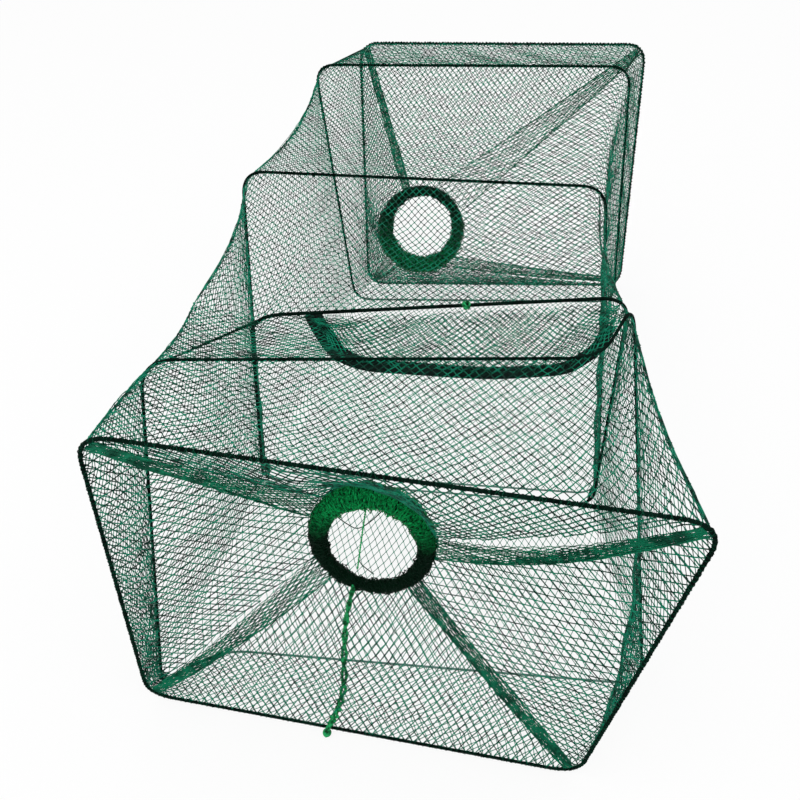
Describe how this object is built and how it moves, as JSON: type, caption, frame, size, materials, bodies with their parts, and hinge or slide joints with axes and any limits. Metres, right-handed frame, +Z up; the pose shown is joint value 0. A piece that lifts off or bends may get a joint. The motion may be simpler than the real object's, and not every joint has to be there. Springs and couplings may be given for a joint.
{
  "type": "tunnel fish trap",
  "caption": "Collapsible tunnel fish trap: rounded wire hoops inside a knotted net tube, an inward net funnel with a net-wrapped ring at each end, and a taped emptying hatch in the top net.",
  "frame": {"origin": "underside of the front hoop's bottom wire, at its middle, on the floor", "axes": "+Y along the tunnel from the front hoop to the rear one, +X to the right seen from the front, +Z up"},
  "size_m": [0.5656, 1.0196, 0.3971],
  "materials": {
    "wire": "dark green-black coated spring wire",
    "net": "dark green knotted polyethylene netting",
    "ring": "ring wrapped in many layers of green netting",
    "cord": "bright green twisted polyethylene cord",
    "tape": "matt black-green woven closure tape"
  },
  "bodies": {
    "front_section": {"front_hoop": "wire", "second_hoop": "wire", "third_hoop": "wire", "fourth_hoop": "wire", "front_funnel_net": "net", "net_1_2_left": "net", "net_1_2_top": "net", "net_1_2_right": "net", "net_1_2_floor": "net", "net_2_3_left": "net", "net_2_3_top": "net", "net_2_3_right": "net", "net_2_3_floor": "net", "net_2_4_shoulder": "net", "net_3_4_left": "net", "net_3_4_top": "net", "net_3_4_right": "net", "net_4_5_left": "net", "net_4_5_top": "net", "net_4_5_right": "net", "net_4_5_floor": "net", "hatch_knot": "cord", "edge_cord_2_3": "net", "anchor_cord": "cord", "anchor_knot": "cord"},
    "rear_section": {"fifth_hoop": "wire", "rear_hoop": "wire", "rear_funnel_net": "net", "net_5_6_left": "net", "net_5_6_top": "net", "net_5_6_right": "net", "net_5_6_floor": "net", "edge_cord_5_6_left": "net", "edge_cord_5_6_right": "net"},
    "front_throat": {"front_funnel_ring": "ring", "throat_cord": "cord", "throat_thread": "net"},
    "rear_throat": {"rear_funnel_ring": "ring"},
    "hatch": {"hatch_flap_net": "net", "hatch_tape": "tape"}
  },
  "joints": [
    {"name": "rear_section_slide", "type": "slide", "parent": "front_section", "child": "rear_section", "axis": [0, 1, 0], "range_m": [-0.2, 0], "deforming": ["net_4_5_left", "net_4_5_top", "net_4_5_right", "net_4_5_floor"]},
    {"name": "front_throat_slide", "type": "slide", "parent": "front_section", "child": "front_throat", "axis": [0, 1, 0], "range_m": [-0.04, 0.05], "deforming": ["front_funnel_net", "anchor_cord"]},
    {"name": "rear_throat_slide", "type": "slide", "parent": "rear_section", "child": "rear_throat", "axis": [0, 1, 0], "range_m": [-0.05, 0.04], "deforming": ["rear_funnel_net"]},
    {"name": "hatch_hinge", "type": "hinge", "parent": "front_section", "child": "hatch", "pos_m": [0.025, 0.243, 0.361], "axis": [0.9416, 0.3367, 0], "range_deg": [0, 80]}
  ]
}
